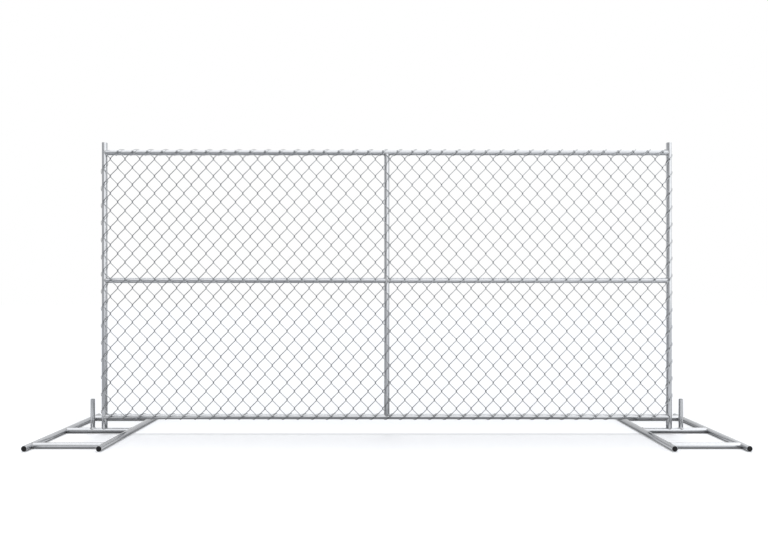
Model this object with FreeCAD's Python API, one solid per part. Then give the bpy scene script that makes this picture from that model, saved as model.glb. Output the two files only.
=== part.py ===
"""Temporary chain link fence panel standing on two tubular stands."""
import math
import os

import FreeCAD
import Part

# Panel frame, all sizes in millimetres
panel_width = 3657.6
panel_height = 1828.8
frame_tube_od = 34.925
frame_tube_wall = 1.65
top_rail_drop = 63.5
bottom_rail_rise = 71.0
mid_rail_rise = 945.5

# Chain link fabric, counted in half diamonds across and up the panel, as is the shortest strand
fabric_columns = 77
fabric_rows = 31
wire_diameter = 5.0
fabric_top_lift = 8.5
fabric_bottom_lift = 1.8
fabric_right_inset = 4.6
fabric_overrun = 3.0
fabric_split_rise = 20.0
lacing_start = 5.0
shortest_strand = 0.6

# Stands
stand_length = 914.4
stand_width = 460.0
stand_tube_od = 34.925
stand_tube_wall = 2.1
crossbar_inset = 76.2
pin_od = 26.7
pin_wall = 2.9
pin_height = 184.0
pin_spacing = 76.2
pin_weld = 2.2

# Runner plugs
plug_depth = 22.0
plug_wall = 2.5
plug_proud = 2.0
plug_edge = 1.2

# Fits
weld_gap = 0.2
plug_fit = 0.15
seat_gap = 0.1
fabric_joint = 0.3

# Levels and centre lines
runner_z = stand_tube_od / 2
post_foot_z = stand_tube_od
post_top_z = post_foot_z + panel_height
top_rail_z = post_top_z - top_rail_drop
bottom_rail_z = post_foot_z + bottom_rail_rise
mid_rail_z = post_foot_z + mid_rail_rise
post_x = (panel_width - frame_tube_od) / 2
stand_x = post_x + pin_spacing / 2
runner_offset = (stand_width - stand_tube_od) / 2
crossbar_y = stand_length / 2 - crossbar_inset
bar_side = wire_diameter * 0.886
fabric_y = -(frame_tube_od / 2 + seat_gap + bar_side)
fabric_left_x = -post_x
fabric_bottom_z = bottom_rail_z + fabric_bottom_lift
column_pitch = (post_x - fabric_right_inset - fabric_left_x) / fabric_columns
row_pitch = (top_rail_z + fabric_top_lift - fabric_bottom_z) / fabric_rows


def vector(x, y, z):
    return FreeCAD.Vector(x, y, z)


def rod(start, end, radius):
    """Solid round bar between two points."""
    run = end - start
    return Part.makeCylinder(radius, run.Length, start, run)


def tube(start, end, outer_diameter, wall):
    """Open round tube between two points."""
    outer = rod(start, end, outer_diameter / 2)
    bore = rod(start, end, outer_diameter / 2 - wall)
    return outer.cut(bore)


def saddle(shape, start, end, outer_diameter):
    """Cope a tube end to seat on the tube between two points."""
    return shape.cut(rod(start, end, outer_diameter / 2 + weld_gap))


def frame_upright(x):
    """Centre line of an upright, long enough to cope the rails."""
    return vector(x, 0, 0), vector(x, 0, post_top_z)


def frame_rail(z):
    """Centre line of a rail from post to post."""
    return vector(-post_x, 0, z), vector(post_x, 0, z)


def end_post(x):
    return tube(vector(x, 0, post_foot_z), vector(x, 0, post_top_z), frame_tube_od, frame_tube_wall)


def rail(x_from, x_to, z):
    """Rail welded between two uprights."""
    shape = tube(vector(x_from, 0, z), vector(x_to, 0, z), frame_tube_od, frame_tube_wall)
    for x in (x_from, x_to):
        shape = saddle(shape, *frame_upright(x), frame_tube_od)
    return shape


def centre_post():
    """Upright welded between the bottom and top rails."""
    shape = tube(vector(0, 0, bottom_rail_z), vector(0, 0, top_rail_z), frame_tube_od, frame_tube_wall)
    for z in (bottom_rail_z, top_rail_z):
        shape = saddle(shape, *frame_rail(z), frame_tube_od)
    return shape


def fabric_point(column, row):
    """Place in the fabric's plane, counted from its lower left corner."""
    return vector(fabric_left_x + column * column_pitch, fabric_y, fabric_bottom_z + row * row_pitch)


def strand(lean, line, columns, rows):
    """Straight wire of the fabric within a range of columns and rows.

    Rising strands (lean 1) lie in front and falling strands (lean -1) behind them.
    """
    if lean > 0:
        first = max(columns[0], line + rows[0])
        last = min(columns[1], line + rows[1])
    else:
        first = max(columns[0], line - rows[1])
        last = min(columns[1], line - rows[0])
    if last - first < shortest_strand:
        return None
    start = fabric_point(first, lean * (first - line))
    end = fabric_point(last, lean * (last - line))
    run = end - start
    depth = -bar_side if lean > 0 else 0
    bar = Part.makeBox(run.Length, bar_side, bar_side, vector(0, depth, -bar_side / 2))
    turn = FreeCAD.Rotation(vector(1, 0, 0), run)
    bar.Placement = FreeCAD.Placement(start, turn)
    return bar


def fabric(columns, rows):
    """Chain link cloth over a range of columns and rows, joined at every crossing."""
    strands = []
    for line in range(-fabric_rows, fabric_columns + 1):
        if line % 2:
            strands.append(strand(1, line, columns, rows))
    for line in range(0, fabric_columns + fabric_rows + 1):
        if line % 2:
            strands.append(strand(-1, line, columns, rows))
    strands = [bar for bar in strands if bar]
    return strands[0].multiFuse(strands[1:])


def lacing_turn(centre, outward, tip):
    """Turn of lacing wire round a frame tube, from a tip of the fabric over the tube to its back.

    The tube's centre is level with the tip, and outward points away from the panel's middle.
    """
    backward = vector(0, 1, 0)
    along = outward.cross(backward)
    flat = frame_tube_od / 2 + seat_gap + bar_side / 2
    corner = flat * math.tan(math.pi / 8)
    start = (tip - centre).dot(outward) + lacing_start
    corners = [(fabric_y, start)]
    if start < corner:
        corners.append((fabric_y, corner))
    corners += [(-corner, flat), (corner, flat), (flat, corner), (flat, -corner)]
    points = [centre + backward * depth + outward * reach for depth, reach in corners]
    side = along * (bar_side / 2)
    height = (points[1] - points[0]).normalize().cross(along) * (bar_side / 2)
    square = [points[0] + side + height, points[0] + side - height]
    square += [points[0] - side - height, points[0] - side + height]
    section = Part.makePolygon(square + square[:1])
    right_corner = 1
    return Part.makePolygon(points).makePipeShell([section], True, False, right_corner)


def edge_lacing():
    """Turns that tie every tip of the fabric to the rails and the end posts."""
    turns = []
    for column in range(1, fabric_columns):
        at_top = column % 2 == 0
        tip = fabric_point(column, fabric_rows if at_top else 0)
        centre = vector(tip.x, 0, top_rail_z if at_top else bottom_rail_z)
        turns.append(lacing_turn(centre, vector(0, 0, 1 if at_top else -1), tip))
    for row in range(1, fabric_rows):
        at_left = row % 2 == 1
        side = -1 if at_left else 1
        tip = fabric_point(0 if at_left else fabric_columns, row)
        turns.append(lacing_turn(vector(side * post_x, 0, tip.z), vector(side, 0, 0), tip))
    return Part.makeCompound(turns)


def runner(x):
    """Long side tube of a stand, lying front to back on the ground."""
    front = vector(x, -stand_length / 2, runner_z)
    back = vector(x, stand_length / 2, runner_z)
    return tube(front, back, stand_tube_od, stand_tube_wall)


def crossbar(centre_x, y):
    """Crossbar welded between the two runners of a stand."""
    ends = (centre_x - runner_offset, centre_x + runner_offset)
    shape = tube(vector(ends[0], y, runner_z), vector(ends[1], y, runner_z), stand_tube_od, stand_tube_wall)
    for x in ends:
        front = vector(x, -stand_length / 2, runner_z)
        back = vector(x, stand_length / 2, runner_z)
        shape = saddle(shape, front, back, stand_tube_od)
    return shape


def pin(centre_x, x):
    """Upright pin on the middle crossbar, its foot in a weld slim enough to pass into a post."""
    start = vector(x, 0, runner_z)
    seat = vector(x, 0, stand_tube_od)
    end = vector(x, 0, stand_tube_od + pin_height)
    weld_skirt = rod(start, seat, pin_od / 2 + pin_weld)
    weld_bevel = Part.makeCone(pin_od / 2 + pin_weld, pin_od / 2, pin_weld, seat)
    shape = rod(start, end, pin_od / 2).fuse([weld_skirt, weld_bevel]).removeSplitter()
    shape = shape.cut(rod(start, end, pin_od / 2 - pin_wall))
    left = vector(centre_x - runner_offset, 0, runner_z)
    right = vector(centre_x + runner_offset, 0, runner_z)
    return saddle(shape, left, right, stand_tube_od)


def runner_plug(x, side):
    """Plastic plug pushed into a runner end, a cup with a bevelled face just proud of the tube."""
    radius = stand_tube_od / 2 - stand_tube_wall - plug_fit
    face_y = side * (stand_length / 2 + plug_proud)
    inward = vector(0, -side, 0)
    body = Part.makeCylinder(radius, plug_depth + plug_proud, vector(x, face_y, runner_z), inward)
    face_edge = max(body.Edges, key=lambda edge: side * edge.CenterOfMass.y)
    body = body.makeChamfer(plug_edge, [face_edge])
    hollow_start = vector(x, face_y - side * plug_wall, runner_z)
    hollow = Part.makeCylinder(radius - plug_wall, plug_depth + plug_proud, hollow_start, inward)
    return body.cut(hollow)


nodes = {
    "left_end_post": end_post(-post_x),
    "right_end_post": end_post(post_x),
    "top_rail": rail(-post_x, post_x, top_rail_z),
    "bottom_rail": rail(-post_x, post_x, bottom_rail_z),
    "centre_post": centre_post(),
    "left_mid_rail": rail(-post_x, 0, mid_rail_z),
    "right_mid_rail": rail(0, post_x, mid_rail_z),
}

overrun_columns = fabric_overrun / column_pitch
overrun_rows = fabric_overrun / row_pitch
joint_columns = fabric_joint / column_pitch
joint_rows = fabric_joint / row_pitch
middle_column = -fabric_left_x / column_pitch
middle_row = (mid_rail_z + fabric_split_rise - fabric_bottom_z) / row_pitch
fabric_sides = {
    "left": (-overrun_columns, middle_column - joint_columns),
    "right": (middle_column + joint_columns, fabric_columns + overrun_columns),
}
fabric_levels = {
    "lower": (-overrun_rows, middle_row - joint_rows),
    "upper": (middle_row + joint_rows, fabric_rows + overrun_rows),
}
for level, row_range in fabric_levels.items():
    for hand, column_range in fabric_sides.items():
        nodes[f"fabric_{level}_{hand}"] = fabric(column_range, row_range)
nodes["edge_lacing"] = edge_lacing()

for hand, sign in (("left", -1), ("right", 1)):
    centre = sign * stand_x
    runner_places = {"outer": centre + sign * runner_offset, "inner": centre - sign * runner_offset}
    for place, x in runner_places.items():
        nodes[f"{hand}_stand_{place}_runner"] = runner(x)
        nodes[f"{hand}_stand_{place}_front_plug"] = runner_plug(x, -1)
        nodes[f"{hand}_stand_{place}_back_plug"] = runner_plug(x, 1)
    for place, y in (("front", -crossbar_y), ("middle", 0), ("back", crossbar_y)):
        nodes[f"{hand}_stand_{place}_crossbar"] = crossbar(centre, y)
    nodes[f"{hand}_stand_panel_pin"] = pin(centre, sign * post_x)
    nodes[f"{hand}_stand_spare_pin"] = pin(centre, sign * (post_x + pin_spacing))

os.makedirs("parts", exist_ok=True)
for name, shape in nodes.items():
    shape.exportStep(f"parts/{name}.step")
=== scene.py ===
"""Looks of the chain link temporary fence panel: woven wire, welds, plugs, finishes, stage and camera."""

import math

import bpy
import numpy as np
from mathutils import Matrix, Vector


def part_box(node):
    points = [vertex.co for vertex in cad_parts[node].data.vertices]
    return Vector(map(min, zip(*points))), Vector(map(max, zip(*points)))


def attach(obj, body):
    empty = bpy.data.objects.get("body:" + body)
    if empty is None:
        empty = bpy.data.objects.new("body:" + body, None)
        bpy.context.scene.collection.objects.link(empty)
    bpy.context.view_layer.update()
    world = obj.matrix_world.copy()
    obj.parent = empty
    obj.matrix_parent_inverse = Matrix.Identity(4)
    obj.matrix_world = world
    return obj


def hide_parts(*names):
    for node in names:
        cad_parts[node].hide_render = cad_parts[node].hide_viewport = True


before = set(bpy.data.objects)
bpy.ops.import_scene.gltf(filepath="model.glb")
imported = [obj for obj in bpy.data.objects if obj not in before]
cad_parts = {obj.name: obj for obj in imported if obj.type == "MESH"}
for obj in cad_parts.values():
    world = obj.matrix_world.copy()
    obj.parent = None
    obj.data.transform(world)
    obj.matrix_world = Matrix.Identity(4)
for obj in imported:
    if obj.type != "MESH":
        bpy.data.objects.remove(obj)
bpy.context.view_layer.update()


def middle_of(name):
    """Middle of a node's box."""
    low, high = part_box(name)
    return (low + high) / 2


# Sizes read from the frame, in metres
post_low, post_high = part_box("left_end_post")
pin_low, pin_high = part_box("left_stand_spare_pin")
tube_radius = (post_high.x - post_low.x) / 2
pin_foot_radius = (pin_high.y - pin_low.y) / 2
post_x = middle_of("right_end_post").x
top_z = middle_of("top_rail").z
mid_z = middle_of("left_mid_rail").z
bottom_z = middle_of("bottom_rail").z
stand_z = middle_of("left_stand_outer_runner").z

# Chain link fabric, counted in half diamonds, on the pitch of the solids
fabric_columns = 77
fabric_rows = 31
fabric_top_lift = 0.0085
fabric_bottom_lift = 0.0018
fabric_right_inset = 0.0046
column_pitch = (2 * post_x - fabric_right_inset) / fabric_columns
row_pitch = (top_z + fabric_top_lift - bottom_z - fabric_bottom_lift) / fabric_rows

# Pickets, whose runs lie a layer before or behind the fabric's middle and hook into the next picket
wire_radius = 0.0025
wire_sides = 10
layer_offset = 0.0034
hook_reach = 0.0026
bend_depth = 0.0030
bend_steps = 6
fabric_seat = 0.0003
fabric_y = -(tube_radius + fabric_seat + wire_radius + layer_offset)
strand_run = column_pitch - 2 * bend_depth + 2 * hook_reach
strand_slope = row_pitch / (strand_run + math.pi * bend_depth)

# Free bends on the end posts, and the short turn left at a wire's end
edge_reach = 0.0010
edge_bend_depth = 0.0070
wire_end_turn = math.radians(20)

# Lacing wire round the outer tubes, one turn for each tip of the fabric
lacing_radius = 0.0015
lacing_slack = 0.0008
lacing_rail_reach = 0.0330
lacing_post_reach = 0.0290
lacing_grip = 4
lacing_shift = 0.006
lacing_drop = 0.005
lacing_steps = 36

# Welds
bead_radius = 0.0023
bead_ripple = 0.08
bead_pitch = 0.0036
bead_rings = 136
bead_sides = 8
bead_corner = 0.004
bead_floor = 0.003
fillet_lean = 0.0019
fillet_rise = 0.0022
fillet_sides = 14

# Plugs in the runner ends
plug_crown = 0.0010
plug_crown_start = 0.25
plug_crown_steps = 6
plug_edge = 0.0014
plug_edge_steps = 5
plug_gate = 0.0019
plug_gate_depth = 0.0003
plug_gate_shares = (0.5, 0.85)
plug_sides = 64

# Open tube ends, and the angle past which an edge stays crisp
rim_round = 0.0005
rim_steps = 3
corner_gap = 0.00001
crisp_edge = math.radians(60)

# All finishes: the span of a noise that counts, and the strength of a bump
noise_span = (0.3, 0.7)
bump_strength = 0.5

# Finish of the tubes, with the scales of its patterns in waves per metre
crystal_scale = 110.0
crystal_share = 0.45
spot_scale = 14.0
spot_share = 0.55
spot_dullness = 0.7
line_scale = 900.0
line_stretch_scale = 6.0
line_depth = 0.00003
line_dullness = 0.3
tube_tones = ((0.298, 0.306, 0.320), (0.361, 0.370, 0.384))
tube_roughness = (0.10, 0.20)

# Finish of the wires
patch_scale = 9.0
pit_scale = 700.0
pit_depth = 0.00006
wire_tones = ((0.193, 0.201, 0.211), (0.243, 0.252, 0.262))
wire_roughness = (0.13, 0.20)

# Finish of the welds
weld_patch_scale = 160.0
weld_patch_depth = 0.0002
weld_tones = ((0.240, 0.243, 0.247), (0.360, 0.363, 0.367))
weld_roughness = (0.36, 0.52)

# Finish of the plugs
dust_scale = 60.0
grain_scale = 1800.0
grain_depth = 0.00005
grain_strength = 0.4
plastic_tones = ((0.006, 0.006, 0.006), (0.014, 0.014, 0.015))
plastic_roughness = (0.42, 0.58)
plastic_gloss = 0.12

# Room that the zinc mirrors: strengths, headings, and the spans over which lights and flags fade
ambient_light = 0.68
wall_light = 2.25
ceiling_light = 0.35
ceiling_span = (0.30, 0.90)
lamp_light = 1.5
lamp_side_span = (0.35, 0.60)
lamp_height_span = (0.40, 0.70)
lamp_depth_span = (-0.10, 0.30)
screen_light = 0.5
screen_heading = (0.74, -0.67, 0.0)
screen_span = (0.80, 0.96)
front_flag = 1.25
front_flag_heading = (-0.80, -0.52, -0.30)
front_flag_span = (0.38, 0.72)
front_flag_top_span = (0.22, 0.42)
back_flag = 1.0
back_flag_heading = (-0.35, 0.94, 0.0)
back_flag_span = (0.74, 0.90)
far_flag = 1.1
far_flag_span = (0.75, 0.90)
left_flag = 1.6
left_flag_side_span = (-0.70, -0.30)
left_flag_foot_span = (0.18, 0.40)
left_flag_top_span = (0.62, 0.75)
edge_flag = 1.0
edge_flag_heading = (0.935, 0.34, 0.09)
edge_flag_span = (0.93, 0.98)

# Floor, in metres: mirror rays see it darker near the panel with painted shade, and glowing with painted
# light far out and before the stands, dimmed by painted contact shade next to the bars; the camera sees it
# lifted by painted light before the panel
floor_half = 30.0
# The first tone is the floor's own colour; the second is painted shade, the floor's colour as mirror rays see
# it near the panel.
floor_and_painted_shade_tones = ((0.935, 0.950, 0.980), (0.750, 0.755, 0.765))
floor_roughness = 0.9
near_front_span = (-1.20, -0.45)
near_back_span = (0.60, 1.60)
near_side_span = (2.20, 3.40)
# Painted light that the floor gives off only to mirror rays, far from the panel and before the stands.
painted_far_glow = 0.5
stand_side_span = (1.10, 1.40)
stand_front_span = (-0.20, -0.10)
# Painted contact shade: within this reach the bars dim the floor's painted glow by occlusion.
contact_shade_reach = 0.09
contact_shade_power = 3.0
contact_shade_samples = 8
# Emission that the camera sees on the floor: the even part whitens the floor, and the extra before the panel
# is painted light that pales the panel's shade there.
floor_lift_and_painted_light = (0.19, 0.07)
floor_lift_and_painted_light_span = (-0.05, 0.35)

# Overhead light
sun_strength = 1.1
sun_width = math.radians(20)
sun_tilt = math.radians(-14)

# Camera, with its focal length and shift in pixels of the picture's width
picture_width = 768
focal_pixels = 618
shift_pixels = (-2.8, 12.9)
sensor_width = 36
camera_distance = 3.968
camera_height = 0.929


class Nodes:
    """Short way to place and wire the shader nodes of a material or a world."""

    def __init__(self, owner):
        owner.use_nodes = True
        self.nodes = owner.node_tree.nodes
        self.links = owner.node_tree.links

    def feed(self, socket, value):
        """Wire an input to another node, or set it to a constant."""
        if isinstance(value, bpy.types.NodeSocket):
            self.links.new(value, socket)
        else:
            socket.default_value = value

    def add(self, kind, inputs, **settings):
        """New node with its settings made and its inputs fed."""
        made = self.nodes.new(kind)
        for key, value in settings.items():
            setattr(made, key, value)
        for key, value in inputs.items():
            self.feed(made.inputs[key], value)
        return made

    def place(self, scale):
        """Place on the object, in metres scaled per axis."""
        where = self.add("ShaderNodeTexCoord", {}).outputs["Object"]
        return self.add("ShaderNodeMapping", {"Vector": where, "Scale": scale}).outputs["Vector"]

    def noise(self, scale, detail):
        """Smooth random pattern with a scale for each axis."""
        inputs = {"Vector": self.place(scale), "Scale": 1.0, "Detail": detail}
        return self.add("ShaderNodeTexNoise", inputs).outputs["Fac"]

    def cells(self, scale):
        """Random value for each cell of an irregular pattern."""
        made = self.add("ShaderNodeTexVoronoi", {"Vector": self.place(scale), "Scale": 1.0})
        return self.add("ShaderNodeSeparateColor", {"Color": made.outputs["Color"]}).outputs["Red"]

    def spread(self, value, span, bounds, interpolation="LINEAR"):
        """Map a span of values onto the range between two bounds."""
        inputs = {"Value": value, "From Min": span[0], "From Max": span[1]}
        inputs |= {"To Min": bounds[0], "To Max": bounds[1]}
        return self.add("ShaderNodeMapRange", inputs, interpolation_type=interpolation).outputs["Result"]

    def rise(self, value, span):
        """Smooth step up from 0 to 1 over a span of values."""
        return self.spread(value, span, (0.0, 1.0), "SMOOTHSTEP")

    def fall(self, value, span):
        """Smooth step down from 1 to 0 over a span of values."""
        return self.spread(value, span, (1.0, 0.0), "SMOOTHSTEP")

    def maths(self, operation, first, second):
        return self.add("ShaderNodeMath", {0: first, 1: second}, operation=operation).outputs[0]

    def product(self, first, *others):
        for other in others:
            first = self.maths("MULTIPLY", first, other)
        return first

    def total(self, first, *others):
        for other in others:
            first = self.maths("ADD", first, other)
        return first

    def axes(self, vector):
        """Components of a vector, by the names of the axes."""
        return self.add("ShaderNodeSeparateXYZ", {"Vector": vector}).outputs

    def toward(self, direction, heading):
        """How far a direction points along a heading."""
        made = self.add("ShaderNodeVectorMath", {0: direction, 1: heading}, operation="DOT_PRODUCT")
        return made.outputs["Value"]

    def tint(self, value, tones):
        """Colour that runs from the first tone to the second as a value rises."""
        mix = self.add("ShaderNodeMix", {"Factor": value}, data_type="RGBA")
        mix.inputs["A"].default_value = (*tones[0], 1)
        mix.inputs["B"].default_value = (*tones[1], 1)
        return mix.outputs["Result"]

    def bump(self, height, distance, strength=bump_strength):
        """Normal bent by a height pattern of a depth in metres."""
        inputs = {"Height": height, "Distance": distance, "Strength": strength}
        return self.add("ShaderNodeBump", inputs).outputs["Normal"]


def new_material(name):
    """Material with its node helper and its surface shader."""
    material = bpy.data.materials.new(name)
    nodes = Nodes(material)
    return material, nodes, nodes.nodes["Principled BSDF"]


def galvanised_tube(axis):
    """Bright zinc on drawn tube: faint crystals, mill lines along the tube, dull spots."""
    material, nodes, surface = new_material(f"galvanised_tube_{axis}")
    line_scales = [line_scale] * 3
    line_scales["xyz".index(axis)] = line_stretch_scale
    crystals = nodes.cells([crystal_scale] * 3)
    lines = nodes.noise(line_scales, detail=2.0)
    spots = nodes.noise([spot_scale] * 3, detail=4.0)
    tone = nodes.total(nodes.product(crystals, crystal_share), nodes.product(spots, spot_share))
    dull = nodes.total(nodes.product(spots, spot_dullness), nodes.product(lines, line_dullness))
    surface.inputs["Metallic"].default_value = 1.0
    nodes.feed(surface.inputs["Base Color"], nodes.tint(tone, tube_tones))
    nodes.feed(surface.inputs["Roughness"], nodes.spread(dull, noise_span, tube_roughness))
    nodes.feed(surface.inputs["Normal"], nodes.bump(lines, line_depth))
    return material


def galvanised_wire():
    """Duller zinc on drawn wire, with small pits."""
    material, nodes, surface = new_material("galvanised_wire")
    patches = nodes.noise([patch_scale] * 3, detail=3.0)
    pits = nodes.noise([pit_scale] * 3, detail=2.0)
    surface.inputs["Metallic"].default_value = 1.0
    nodes.feed(surface.inputs["Base Color"], nodes.tint(patches, wire_tones))
    nodes.feed(surface.inputs["Roughness"], nodes.spread(patches, noise_span, wire_roughness))
    nodes.feed(surface.inputs["Normal"], nodes.bump(pits, pit_depth))
    return material


def weld_metal():
    """Weld beads under zinc paint."""
    material, nodes, surface = new_material("weld_metal")
    patches = nodes.noise([weld_patch_scale] * 3, detail=3.0)
    surface.inputs["Metallic"].default_value = 1.0
    nodes.feed(surface.inputs["Base Color"], nodes.tint(patches, weld_tones))
    nodes.feed(surface.inputs["Roughness"], nodes.spread(patches, noise_span, weld_roughness))
    nodes.feed(surface.inputs["Normal"], nodes.bump(patches, weld_patch_depth))
    return material


def black_plastic():
    """Moulded satin plastic with a fine grain and a little dust."""
    material, nodes, surface = new_material("black_plastic")
    dust = nodes.noise([dust_scale] * 3, detail=4.0)
    grain = nodes.noise([grain_scale] * 3, detail=2.0)
    nodes.feed(surface.inputs["Base Color"], nodes.tint(dust, plastic_tones))
    nodes.feed(surface.inputs["Roughness"], nodes.spread(dust, noise_span, plastic_roughness))
    nodes.feed(surface.inputs["Normal"], nodes.bump(grain, grain_depth, grain_strength))
    surface.inputs["Specular IOR Level"].default_value = plastic_gloss
    return material


tube_finish = {axis: galvanised_tube(axis) for axis in "xyz"}
wire_finish = galvanised_wire()
weld_finish = weld_metal()
plug_finish = black_plastic()


def new_piece(name, shapes, material):
    """Smooth mesh piece joined from several shapes of points and faces, riding with the panel."""
    points = np.concatenate([shape_points for shape_points, _ in shapes])
    faces = []
    count = 0
    for shape_points, shape_faces in shapes:
        faces.extend([[corner + count for corner in face] for face in shape_faces])
        count += len(shape_points)
    mesh = bpy.data.meshes.new(name)
    mesh.from_pydata(points.tolist(), [], faces)
    mesh.polygons.foreach_set("use_smooth", np.ones(len(faces), dtype=bool))
    mesh.set_sharp_from_angle(angle=crisp_edge)
    mesh.materials.append(material)
    mesh.update()
    piece = bpy.data.objects.new(name, mesh)
    bpy.context.scene.collection.objects.link(piece)
    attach(piece, "root")
    return piece


def ring_quads(rings, sides, closed):
    """Faces between neighbouring rings of points, with the last ring joined to the first if closed."""
    first = np.arange(rings if closed else rings - 1)[:, None]
    second = (first + 1) % rings
    side = np.arange(sides)[None, :]
    following = (side + 1) % sides
    corners = [
        first * sides + side,
        first * sides + following,
        second * sides + following,
        second * sides + side,
    ]
    return np.stack(corners, axis=2).reshape(-1, 4).tolist()


def end_caps(rings, sides):
    """Faces that close the first and the last ring."""
    first = list(range(sides))[::-1]
    last = list(range((rings - 1) * sides, rings * sides))
    return [first, last]


def sweep(path, radius, sides, closed=False):
    """Round bar along a path, as points and faces; the radius may change along it."""
    ahead = np.roll(path, -1, axis=0) - np.roll(path, 1, axis=0) if closed else np.gradient(path, axis=0)
    ahead /= np.linalg.norm(ahead, axis=1)[:, None]
    across = np.zeros_like(path)
    slanted = (0.31, 0.89, 0.33)
    guess = np.cross(ahead[0], slanted)
    for step, direction in enumerate(ahead):
        guess = guess - direction * (guess @ direction)
        guess /= np.linalg.norm(guess)
        across[step] = guess
    upward = np.cross(ahead, across)
    turn = np.linspace(0, 2 * math.pi, sides, endpoint=False)
    ring = np.cos(turn)[None, :, None] * across[:, None] + np.sin(turn)[None, :, None] * upward[:, None]
    size = np.broadcast_to(radius, len(path))[:, None, None]
    points = (path[:, None] + size * ring).reshape(-1, 3)
    faces = ring_quads(len(path), sides, closed)
    if not closed:
        faces += end_caps(len(path), sides)
    return points, faces


# Woven fabric


def column_x(column):
    return column * column_pitch - post_x


def row_z(row):
    return bottom_z + fabric_bottom_lift + row * row_pitch


def hook_bend(column, row, side):
    """Bend of a picket on its right (side 1) or its left (side -1).

    It hooks into the next picket, but is wider and free on the end posts. At the wire's ends it is cut short.
    """
    free = column in (0, fabric_columns)
    depth = edge_bend_depth if free else bend_depth
    reach = edge_reach if free else hook_reach
    start = -wire_end_turn if row == 0 else -math.pi / 2
    end = wire_end_turn if row == fabric_rows else math.pi / 2
    angle = np.linspace(start, end, bend_steps + 1)
    x = column_x(column) + side * (reach - depth + depth * np.cos(angle))
    y = fabric_y + side * layer_offset * np.sin(angle)
    z = row_z(row) + depth * strand_slope * angle
    return np.stack([x, y, z], axis=1)


def picket_path(picket):
    """Centre line of one zigzag wire from the bottom rail to the top rail."""
    bends = []
    for row in range(fabric_rows + 1):
        leftward = (picket + row) % 2 == 1
        bends.append(hook_bend(picket, row, -1) if leftward else hook_bend(picket + 1, row, 1))
    return np.concatenate(bends)


def woven_fabric(hand, pickets):
    """Hooked pickets of one half of the panel, in place of the flat lattice."""
    wires = [sweep(picket_path(picket), wire_radius, wire_sides) for picket in pickets]
    piece = new_piece(f"woven_fabric_{hand}", wires, wire_finish)
    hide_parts(f"fabric_lower_{hand}", f"fabric_upper_{hand}")


def lacing_turns(tips, tip_rise, reach, pitch):
    """Coil round a tube and over the tips of an edge, as outward, depth and along values.

    The tips lie in front of the tube, a rise outward from its axis. The coil starts and ends behind the tube
    and passes each tip at a reach from the axis.
    """
    tip_angle = math.asin(tip_rise / reach) - math.pi / 2
    first = -3 * math.pi / 2
    last = 2 * math.pi * (tips - 1) + math.pi / 2
    angle = np.linspace(first, last, tips * lacing_steps + 1)
    close = tube_radius + lacing_radius + lacing_slack
    grip = np.maximum(np.cos(angle - tip_angle), 0) ** lacing_grip
    radius = close + (reach - close) * grip
    along = pitch * (angle - tip_angle) / (2 * math.pi) + lacing_shift
    return radius * np.cos(angle), radius * np.sin(angle), along


def rail_lacing(rail_z, side, first_column, tips, tip_rise):
    """Lacing on the top rail (side 1) or the bottom rail (side -1)."""
    outward, depth, along = lacing_turns(tips, tip_rise, lacing_rail_reach, 2 * column_pitch)
    return np.stack([column_x(first_column) + side * along, depth, rail_z + side * outward], axis=1)


def post_lacing(side, first_row, tips, tip_rise):
    """Lacing on the right post (side 1) or the left post (side -1)."""
    outward, depth, along = lacing_turns(tips, tip_rise, lacing_post_reach, 2 * row_pitch)
    return np.stack([side * (post_x + outward), depth, row_z(first_row) + side * along], axis=1)


def edge_lacing():
    """Wire that ties the fabric's four edges to the frame."""
    rail_tips = fabric_columns // 2
    post_tips = fabric_rows // 2
    coils = [
        rail_lacing(top_z, 1, 2, rail_tips, fabric_top_lift - lacing_drop),
        rail_lacing(bottom_z, -1, fabric_columns - 2, rail_tips, -fabric_bottom_lift - lacing_drop),
        post_lacing(-1, fabric_rows - 2, post_tips, 0.0),
        post_lacing(1, 2, post_tips, -fabric_right_inset),
    ]
    wires = [sweep(coil, lacing_radius, wire_sides) for coil in coils]
    piece = new_piece("lacing_wire", wires, wire_finish)
    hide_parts("edge_lacing")


middle_picket = fabric_columns // 2
woven_fabric("left", range(0, middle_picket + 1))
woven_fabric("right", range(middle_picket + 1, fabric_columns))
edge_lacing()

# Welds

across_x = np.array([1.0, 0.0, 0.0])
along_y = np.array([0.0, 1.0, 0.0])
up_z = np.array([0.0, 0.0, 1.0])


def bead_ripples(turn, radius):
    """Ripple of a bead that runs round a tube of a radius."""
    count = round(2 * math.pi * radius / bead_pitch)
    return 1 + bead_ripple * np.sin(count * turn)


def weld_bead(centre, branch, main):
    """Rippled bead round the foot of a branch tube that meets a main tube square."""
    turn = np.linspace(0, 2 * math.pi, bead_rings, endpoint=False)[:, None]
    side = np.cross(branch, main)
    drop = (tube_radius * np.sin(turn)) ** 2
    height = np.sqrt(np.maximum(tube_radius**2 - drop, 0) + bead_corner**2)
    path = np.array(centre) + branch * height + tube_radius * (np.cos(turn) * main + np.sin(turn) * side)
    path[:, 2] = np.maximum(path[:, 2], bead_floor)
    radius = bead_radius * bead_ripples(turn[:, 0], tube_radius)
    return sweep(path, radius, bead_sides, closed=True)


def pin_fillet(pin_x):
    """Rippled fillet round the foot of a pin, from the crossbar's flanks to just above its crown."""
    turn = np.linspace(0, 2 * math.pi, bead_rings, endpoint=False)[:, None]
    section = np.linspace(0, 2 * math.pi, fillet_sides, endpoint=False)[None, :]
    flank = np.sqrt(np.maximum(tube_radius**2 - (pin_foot_radius * np.sin(turn)) ** 2, 0))
    crown = tube_radius + fillet_rise
    swell = bead_ripples(turn, pin_foot_radius) * bead_radius * np.cos(section)
    reach = pin_foot_radius - fillet_lean + swell - fillet_lean * np.sin(section)
    height = (crown + flank) / 2 + (crown - flank) / 2 * np.sin(section)
    x = pin_x + reach * np.cos(turn)
    y = reach * np.sin(turn)
    points = np.stack([x, y, stand_z + height], axis=2).reshape(-1, 3)
    return points, ring_quads(bead_rings, fillet_sides, True)


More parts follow.
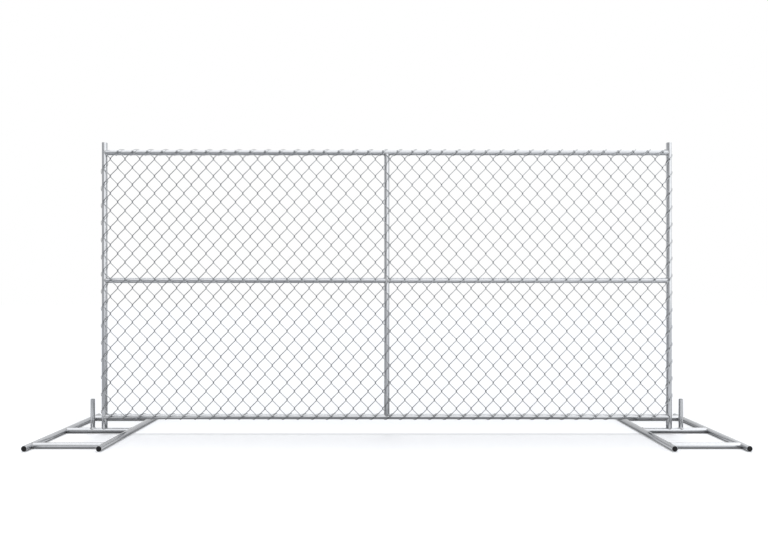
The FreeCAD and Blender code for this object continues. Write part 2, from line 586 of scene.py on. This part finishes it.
def panel_welds():
    """Beads of the panel frame."""
    beads = []
    for side in (-1, 1):
        for z in (top_z, mid_z, bottom_z):
            beads.append(weld_bead((side * post_x, 0, z), -side * across_x, up_z))
        beads.append(weld_bead((0, 0, mid_z), side * across_x, up_z))
    beads.append(weld_bead((0, 0, top_z), -up_z, across_x))
    beads.append(weld_bead((0, 0, bottom_z), up_z, across_x))
    return beads


def stand_welds(hand):
    """Beads of one stand: crossbars on the runners, the free pin on the middle crossbar."""
    outer_x = middle_of(f"{hand}_stand_outer_runner").x
    inner_x = middle_of(f"{hand}_stand_inner_runner").x
    inward = across_x * math.copysign(1, inner_x - outer_x)
    beads = []
    for place in ("front", "middle", "back"):
        y = middle_of(f"{hand}_stand_{place}_crossbar").y
        beads.append(weld_bead((outer_x, y, stand_z), inward, along_y))
        beads.append(weld_bead((inner_x, y, stand_z), -inward, along_y))
    beads.append(pin_fillet(middle_of(f"{hand}_stand_spare_pin").x))
    return beads


new_piece("panel_welds", panel_welds(), weld_finish)
for hand in ("left", "right"):
    new_piece(f"{hand}_stand_welds", stand_welds(hand), weld_finish)

# Plugs


def plug_profile(radius, depth):
    """Radius and height pairs from the crown's gate mark out over the rounded edge to the back."""
    flat = radius - plug_edge
    profile = [(plug_gate * share, -plug_gate_depth) for share in plug_gate_shares]
    profile.append((plug_gate, 0.0))
    for share in np.linspace(plug_crown_start, 1, plug_crown_steps):
        profile.append((plug_gate + share * (flat - plug_gate), -plug_crown * share**2))
    for angle in np.linspace(0, math.pi / 2, plug_edge_steps + 1)[1:]:
        profile.append((flat + plug_edge * math.sin(angle), -plug_crown - plug_edge * (1 - math.cos(angle))))
    profile.append((radius, -depth))
    return profile


def moulded_plug(node):
    """Domed plug in place of a plain one."""
    low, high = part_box(node)
    centre = (low + high) / 2
    side = math.copysign(1, centre.y)
    face_y = high.y if side > 0 else low.y
    turn = side * np.linspace(0, 2 * math.pi, plug_sides, endpoint=False)
    rings = []
    for radius, height in plug_profile((high.x - low.x) / 2, high.y - low.y):
        x = centre.x + radius * np.cos(turn)
        z = centre.z + radius * np.sin(turn)
        rings.append(np.stack([x, np.full(plug_sides, face_y + side * height), z], axis=1))
    faces = ring_quads(len(rings), plug_sides, False) + end_caps(len(rings), plug_sides)
    piece = new_piece(f"{node}_moulding", [(np.concatenate(rings), faces)], plug_finish)
    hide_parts(node)


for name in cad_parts:
    if name.endswith("plug"):
        moulded_plug(name)

# Finishes of the solids


def node_finish(name):
    """Finish of a node, on a tube by the axis along which it runs."""
    if name.endswith("plug"):
        return plug_finish
    if name.startswith("fabric") or name.endswith("lacing"):
        return wire_finish
    if name.endswith(("post", "pin")):
        return tube_finish["z"]
    return tube_finish["y" if name.endswith("runner") else "x"]


def round_rims(node):
    """Break the sharp edges of a tube's open ends, once its split corners are joined."""
    weld = node.modifiers.new("corners", "WELD")
    weld.merge_threshold = corner_gap
    bevel = node.modifiers.new("rims", "BEVEL")
    bevel.width = rim_round
    bevel.segments = rim_steps
    bevel.limit_method = "ANGLE"
    bevel.angle_limit = crisp_edge
    bevel.use_clamp_overlap = False
    shading = node.modifiers.new("shading", "WEIGHTED_NORMAL")
    shading.mode = "FACE_AREA"


for name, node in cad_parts.items():
    if name.endswith(("end_post", "runner", "pin")):
        round_rims(node)
    node.data.materials.clear()
    node.data.materials.append(node_finish(name))

# Stage


def near_panel(nodes, axes, side):
    """Share that is 1 round the panel and its stands and fades to 0 away from them; it places the floor's
    painted shade and painted light in reflections.
    """
    front = nodes.rise(axes["Y"], near_front_span)
    back = nodes.fall(axes["Y"], near_back_span)
    return nodes.product(front, back, nodes.fall(side, near_side_span))


def painted_floor_glow(nodes, place, axes, side, near):
    """Painted light that the floor gives off only to mirror rays, far out beside the front flag and before
    the stands, with painted contact shade that dims it next to the bars.
    """
    heading = nodes.add("ShaderNodeVectorMath", {0: place}, operation="NORMALIZE").outputs["Vector"]
    unflagged = nodes.fall(nodes.toward(heading, front_flag_heading), front_flag_span)
    # Painted light: far out, the floor glows to mirror rays.
    far = nodes.product(painted_far_glow, unflagged, nodes.maths("SUBTRACT", 1.0, near))
    # Painted contact shade: occlusion by the bars dims the painted glow next to them.
    painted_contact_shade = nodes.add("ShaderNodeAmbientOcclusion", {"Distance": contact_shade_reach}, samples=contact_shade_samples)
    before_stands = nodes.product(
        nodes.rise(side, stand_side_span),
        nodes.fall(axes["Y"], stand_front_span),
        nodes.maths("POWER", painted_contact_shade.outputs["AO"], contact_shade_power),
        near,
    )
    return nodes.total(far, before_stands)


def floor_finish():
    """Pale floor that takes the shadow, with painted shade and painted light in what mirror rays see of it,
    and painted light before the panel where the camera sees it.
    """
    material, nodes, surface = new_material("pale_floor")
    ray = nodes.add("ShaderNodeLightPath", {}).outputs
    place = nodes.add("ShaderNodeNewGeometry", {}).outputs["Position"]
    axes = nodes.axes(place)
    side = nodes.maths("ABSOLUTE", axes["X"], 0.0)
    near = near_panel(nodes, axes, side)
    # Painted light that only mirror rays see on the floor.
    mirrored = nodes.product(ray["Is Glossy Ray"], painted_floor_glow(nodes, place, axes, side, near))
    # White floor for the camera, with painted light that lifts it more before the panel than behind it.
    seen = nodes.product(ray["Is Camera Ray"], nodes.spread(axes["Y"], floor_lift_and_painted_light_span, floor_lift_and_painted_light))
    # Painted shade: mirror rays see the floor in the darker tone near the panel.
    tone = nodes.product(ray["Is Glossy Ray"], near)
    nodes.feed(surface.inputs["Base Color"], nodes.tint(tone, floor_and_painted_shade_tones))
    surface.inputs["Emission Color"].default_value = (1, 1, 1, 1)
    nodes.feed(surface.inputs["Emission Strength"], nodes.total(mirrored, seen))
    surface.inputs["Roughness"].default_value = floor_roughness
    surface.inputs["Specular IOR Level"].default_value = 0.0
    return material


def pale_floor():
    """Wide flat floor at ground level."""
    corners = [(-1, -1), (1, -1), (1, 1), (-1, 1)]
    mesh = bpy.data.meshes.new("floor")
    mesh.from_pydata([(x * floor_half, y * floor_half, 0) for x, y in corners], [], [(0, 1, 2, 3)])
    mesh.materials.append(floor_finish())
    floor = bpy.data.objects.new("floor", mesh)
    bpy.context.scene.collection.objects.link(floor)


def room_lights(nodes, direction, axes):
    """Bright walls, a brighter ceiling, a lamp high on the right and a level screen in front on the right."""
    ceiling = nodes.product(ceiling_light, nodes.rise(axes["Z"], ceiling_span))
    lamp = nodes.product(
        lamp_light,
        nodes.rise(axes["X"], lamp_side_span),
        nodes.rise(axes["Z"], lamp_height_span),
        nodes.fall(axes["Y"], lamp_depth_span),
    )
    screen = nodes.product(screen_light, nodes.rise(nodes.toward(direction, screen_heading), screen_span))
    return nodes.total(wall_light, ceiling, lamp, screen)


def room_flags(nodes, direction, axes):
    """Dark flags low in front on the left, behind, along the left and at the right edge."""
    front = nodes.product(
        front_flag,
        nodes.rise(nodes.toward(direction, front_flag_heading), front_flag_span),
        nodes.fall(axes["Z"], front_flag_top_span),
    )
    back = nodes.product(back_flag, nodes.rise(nodes.toward(direction, back_flag_heading), back_flag_span))
    far = nodes.product(far_flag, nodes.rise(axes["Y"], far_flag_span))
    left = nodes.product(
        left_flag,
        nodes.fall(axes["X"], left_flag_side_span),
        nodes.rise(axes["Z"], left_flag_foot_span),
        nodes.fall(axes["Z"], left_flag_top_span),
    )
    edge = nodes.product(edge_flag, nodes.rise(nodes.toward(direction, edge_flag_heading), edge_flag_span))
    return nodes.total(front, nodes.maths("MAXIMUM", back, far), left, edge)


def white_studio():
    """White surround, in which mirror rays find a room of lights and dark flags."""
    world = bpy.data.worlds.new("studio")
    bpy.context.scene.world = world
    nodes = Nodes(world)
    direction = nodes.add("ShaderNodeTexCoord", {}).outputs["Generated"]
    axes = nodes.axes(direction)
    lights = room_lights(nodes, direction, axes)
    room = nodes.maths("SUBTRACT", lights, room_flags(nodes, direction, axes))
    ray = nodes.add("ShaderNodeLightPath", {}).outputs
    mirrored = nodes.product(ray["Is Glossy Ray"], nodes.maths("SUBTRACT", room, ambient_light))
    seen = nodes.product(ray["Is Camera Ray"], 1.0 - ambient_light)
    background = nodes.nodes["Background"]
    background.inputs["Color"].default_value = (1, 1, 1, 1)
    nodes.feed(background.inputs["Strength"], nodes.total(ambient_light, mirrored, seen))


def overhead_light():
    """Soft light from above and slightly behind, for the shadow."""
    light = bpy.data.lights.new("overhead", "SUN")
    light.energy = sun_strength
    light.angle = sun_width
    lamp = bpy.data.objects.new("overhead", light)
    lamp.rotation_euler = (sun_tilt, 0, 0)
    lamp.visible_glossy = False
    bpy.context.scene.collection.objects.link(lamp)


def front_camera():
    """View square on to the panel's front."""
    camera = bpy.data.cameras.new("camera")
    camera.sensor_width = sensor_width
    camera.lens = sensor_width * focal_pixels / picture_width
    camera.shift_x = shift_pixels[0] / picture_width
    camera.shift_y = shift_pixels[1] / picture_width
    viewer = bpy.data.objects.new("camera", camera)
    viewer.location = (0, -camera_distance, camera_height)
    viewer.rotation_euler = (math.radians(90), 0, 0)
    bpy.context.scene.collection.objects.link(viewer)
    bpy.context.scene.camera = viewer


pale_floor()
white_studio()
overhead_light()
front_camera()
bpy.context.scene.view_settings.view_transform = "Standard"
